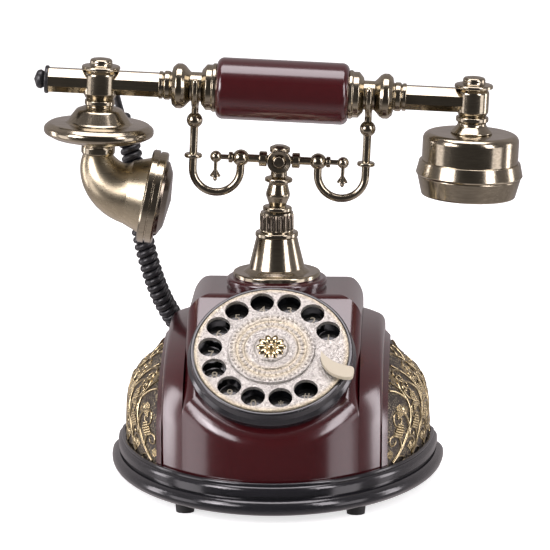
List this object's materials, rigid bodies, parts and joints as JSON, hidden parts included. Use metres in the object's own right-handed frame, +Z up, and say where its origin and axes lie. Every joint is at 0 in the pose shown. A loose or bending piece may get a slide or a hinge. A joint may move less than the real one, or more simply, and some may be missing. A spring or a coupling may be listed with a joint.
{
  "type": "desk telephone",
  "caption": "Antique-style desk telephone: oval plinth, lacquered body with vine side panels, push-key dial, brass cradle on a plunger, horn handset and curly cord.",
  "frame": {"origin": "middle of the part's plan, on the surface that the feet stand on", "axes": "+Z up, -Y to the front where the dial faces, +X to the right of someone facing the dial"},
  "size_m": [0.2738, 0.2106, 0.2393],
  "materials": {
    "red_lacquer": "deep gloss lacquer",
    "black_lacquer": "gloss",
    "gold_relief": "antique gold relief",
    "antique_brass": "brushed antique",
    "champagne_metal": "hammered",
    "ivory_metal": "satin",
    "key_plastic": "gloss",
    "black_plastic": "satin",
    "rubber": "matt",
    "cord_rubber": "satin",
    "circuit_board": "satin",
    "steel": "plain"
  },
  "bodies": {
    "base": {"plinth": "black_lacquer", "base_plate": "black_plastic", "base_screws": "steel", "rubber_feet": "rubber", "body_shell": "red_lacquer", "side_frames": "red_lacquer", "left_pilaster": "red_lacquer", "right_pilaster": "red_lacquer", "left_vine_panel": "gold_relief", "right_vine_panel": "gold_relief", "dial_bezel": "black_lacquer", "finger_wheel": "champagne_metal", "dial_medallion": "champagne_metal", "keypad_board": "circuit_board", "stem_ring": "red_lacquer", "stem_cone": "antique_brass", "knurled_collar": "antique_brass", "main_circuit_board": "circuit_board", "hook_switch": "black_plastic", "ringer": "black_plastic", "modular_jacks": "black_plastic", "cord_plug": "black_plastic", "handset_cord": "cord_rubber"},
    "cradle": {"plunger": "antique_brass", "cradle_hub": "antique_brass", "left_hook": "antique_brass", "right_hook": "antique_brass"},
    "handset": {"grip": "red_lacquer", "tie_rod": "steel", "left_neck": "antique_brass", "right_neck": "antique_brass", "mouth_rod": "antique_brass", "ear_rod": "antique_brass", "rod_finial": "black_plastic", "mouth_knob": "antique_brass", "ear_knob": "antique_brass", "mouth_saucer": "antique_brass", "mouth_horn": "antique_brass", "mouth_rim": "antique_brass", "mouth_cap": "black_plastic", "microphone": "black_plastic", "ear_can": "antique_brass", "ear_ring": "antique_brass", "ear_cap": "antique_brass", "receiver": "black_plastic", "cord_boot": "rubber"},
    "key_1_body": {"key_1": "key_plastic"},
    "key_2_body": {"key_2": "key_plastic"},
    "key_3_body": {"key_3": "key_plastic"},
    "key_4_body": {"key_4": "key_plastic"},
    "key_5_body": {"key_5": "key_plastic"},
    "key_6_body": {"key_6": "key_plastic"},
    "key_7_body": {"key_7": "key_plastic"},
    "key_8_body": {"key_8": "key_plastic"},
    "key_9_body": {"key_9": "key_plastic"},
    "key_0_body": {"key_0": "key_plastic"},
    "key_star_body": {"key_star": "key_plastic"},
    "key_hash_body": {"key_hash": "key_plastic"},
    "redial_body": {"redial_key": "ivory_metal"}
  },
  "joints": [
    {"name": "hook_plunger", "type": "slide", "parent": "base", "child": "cradle", "axis": [0.0436, 0, 0.999], "range_m": [0, 0.004], "stiffness_N_per_m": 200, "springref_m": 0.022},
    {"name": "handset_lift", "type": "slide", "parent": "cradle", "child": "handset", "axis": [0.0436, 0, 0.999], "range_m": [0, 0.11]},
    {"name": "key_1_press", "type": "slide", "parent": "base", "child": "key_1_body", "axis": [0, 0.6266, -0.7793], "range_m": [0, 0.0014], "stiffness_N_per_m": 350},
    {"name": "key_2_press", "type": "slide", "parent": "base", "child": "key_2_body", "axis": [0, 0.6266, -0.7793], "range_m": [0, 0.0014], "stiffness_N_per_m": 350},
    {"name": "key_3_press", "type": "slide", "parent": "base", "child": "key_3_body", "axis": [0, 0.6266, -0.7793], "range_m": [0, 0.0014], "stiffness_N_per_m": 350},
    {"name": "key_4_press", "type": "slide", "parent": "base", "child": "key_4_body", "axis": [0, 0.6266, -0.7793], "range_m": [0, 0.0014], "stiffness_N_per_m": 350},
    {"name": "key_5_press", "type": "slide", "parent": "base", "child": "key_5_body", "axis": [0, 0.6266, -0.7793], "range_m": [0, 0.0014], "stiffness_N_per_m": 350},
    {"name": "key_6_press", "type": "slide", "parent": "base", "child": "key_6_body", "axis": [0, 0.6266, -0.7793], "range_m": [0, 0.0014], "stiffness_N_per_m": 350},
    {"name": "key_7_press", "type": "slide", "parent": "base", "child": "key_7_body", "axis": [0, 0.6266, -0.7793], "range_m": [0, 0.0014], "stiffness_N_per_m": 350},
    {"name": "key_8_press", "type": "slide", "parent": "base", "child": "key_8_body", "axis": [0, 0.6266, -0.7793], "range_m": [0, 0.0014], "stiffness_N_per_m": 350},
    {"name": "key_9_press", "type": "slide", "parent": "base", "child": "key_9_body", "axis": [0, 0.6266, -0.7793], "range_m": [0, 0.0014], "stiffness_N_per_m": 350},
    {"name": "key_0_press", "type": "slide", "parent": "base", "child": "key_0_body", "axis": [0, 0.6266, -0.7793], "range_m": [0, 0.0014], "stiffness_N_per_m": 350},
    {"name": "key_star_press", "type": "slide", "parent": "base", "child": "key_star_body", "axis": [0, 0.6266, -0.7793], "range_m": [0, 0.0014], "stiffness_N_per_m": 350},
    {"name": "key_hash_press", "type": "slide", "parent": "base", "child": "key_hash_body", "axis": [0, 0.6266, -0.7793], "range_m": [0, 0.0014], "stiffness_N_per_m": 350},
    {"name": "redial_press", "type": "slide", "parent": "base", "child": "redial_body", "axis": [0, 0.6266, -0.7793], "range_m": [0, 0.001], "stiffness_N_per_m": 350}
  ]
}
